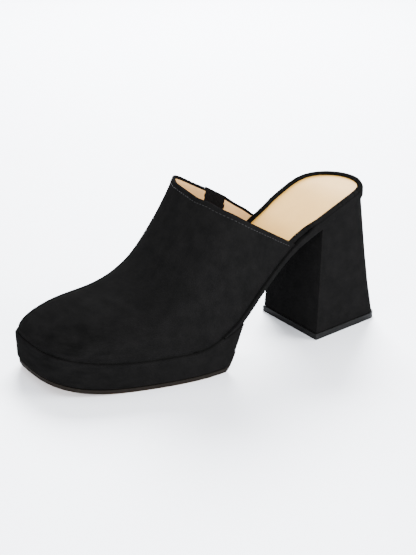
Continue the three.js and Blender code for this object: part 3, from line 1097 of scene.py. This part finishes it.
def dressed(node, name, material, slot, degrees, width, segments=3):
    """A copy of a solid with rounded edges, that knows which of its faces look down."""
    bm = rounded(as_quads(merged_copy(node)), degrees, width, segments)
    underside = bm.faces.layers.float.new("underside")
    for face in bm.faces:
        face[underside] = 1.0 if face.normal.z < FACES_DOWN else 0.0
    piece = finished(bm, name, material, slot, node)
    weighted = piece.modifiers.new("even_shading", "WEIGHTED_NORMAL")
    weighted.keep_sharp = False
    return piece


sock = dressed("insole_sock", "sock", sock_leather, "beige_leather", 40, 0.5 * MM)
board = dressed("insole_board", "wrapped_board", suede, "black_suede", 60, 0.35 * MM)
wrap = dressed("platform", "platform_wrap", suede, "black_suede", 60, 1.0 * MM, 4)
heel_cover = dressed("heel", "heel_cover", suede, "black_suede", 40, 1.0 * MM, 4)
top_piece = dressed("top_piece", "heel_tap", tap, "tap_rubber", 30, 0.4 * MM)
tread = dressed("outsole", "tan_outsole", sole_rubber, "outsole_rubber", 40, 0.4 * MM)

# %% [markdown]
# ## Rim of the seat
# The suede round the board is turned over its edge and stands a little above the sock, so a thin
# dark line runs round the seat from one side of the vamp to the other. A curve with a round bevel
# would do, but here a circle is extruded along the edge of the sock, and its ends are closed.

# %% Outline of the sock's top
RIM = 1.75 * MM
RIM_SIDES = 10
RIM_INSET = 0.3 * MM
RIM_LIFT = 0.5 * MM
RIM_STEP = 1.5 * MM
BEHIND_VAMP = 6 * MM
LOOKS_UP = 0.6
LOOKS_OUT = 0.45
sock_solid = merged_copy("insole_sock")


def outline_edges(bm):
    """Edges between the top of the sock and its side, behind the vamp."""
    found = []
    for edge in bm.edges:
        if len(edge.link_faces) != 2:
            continue
        high, low = sorted((f.normal.z for f in edge.link_faces), reverse=True)
        behind = all(v.co.y < wing_lateral.y + BEHIND_VAMP for v in edge.verts)
        if high > LOOKS_UP and low < LOOKS_OUT and behind:
            found.append(edge)
    return found


def walked(edges):
    """The points of a chain of edges, in order."""
    beside = {}
    for edge in edges:
        for vert in edge.verts:
            beside.setdefault(vert, []).append(edge.other_vert(vert))
    ends = [v for v, near in beside.items() if len(near) == 1]
    here, before, chain = min(ends, key=lambda v: v.co.x), None, []
    while here is not None:
        chain.append(here.co.copy())
        ahead = [v for v in beside[here] if v is not before]
        here, before = (ahead[0] if ahead else None), here
    return chain


def drawn_in(points, inset, lift):
    """The same line moved towards the middle of the seat and up."""
    middle = sum(points, Vector()) / len(points)
    moved = []
    for place in points:
        inwards = middle - place
        inwards.z = 0
        moved.append(place + inwards.normalized() * inset + Vector((0, 0, lift)))
    return moved


rim_line = drawn_in(walked(outline_edges(sock_solid)), RIM_INSET, RIM_LIFT)
rim_length = sum((b - a).length for a, b in zip(rim_line, rim_line[1:]))
print("rim:", len(rim_line), "points,", round(rim_length / MM), "mm")


# %% A roll of suede along it
def frame_at(points, i):
    """A frame that stands on a line of points and looks along it."""
    along = (points[min(i + 1, len(points) - 1)] - points[max(i - 1, 0)]).normalized()
    out = along.cross(Vector((0, 0, 1))).normalized()
    up = out.cross(along).normalized()
    return Matrix.Translation(points[i]) @ Matrix((out, up, along)).transposed().to_4x4()


def roll_along(points, radius, sides):
    """A circle extruded from point to point, with its ends capped."""
    bm = bmesh.new()
    start = frame_at(points, 0)
    bmesh.ops.create_circle(bm, cap_ends=True, segments=sides, radius=radius, matrix=start)
    cap = bm.faces[:][0]
    for i in range(1, len(points)):
        made = bmesh.ops.extrude_face_region(bm, geom=[cap])
        cap = next(g for g in made["geom"] if isinstance(g, bmesh.types.BMFace))
        step = frame_at(points, i) @ frame_at(points, i - 1).inverted()
        bmesh.ops.transform(bm, matrix=step, verts=cap.verts)
        bm.faces.ensure_lookup_table()
    bmesh.ops.recalc_face_normals(bm, faces=bm.faces)
    return bm


rim_points = [place for place, _ in spaced(rim_line, RIM_STEP)]
rim = finished(roll_along(rim_points, RIM, RIM_SIDES), "seat_rim", suede, "black_suede")
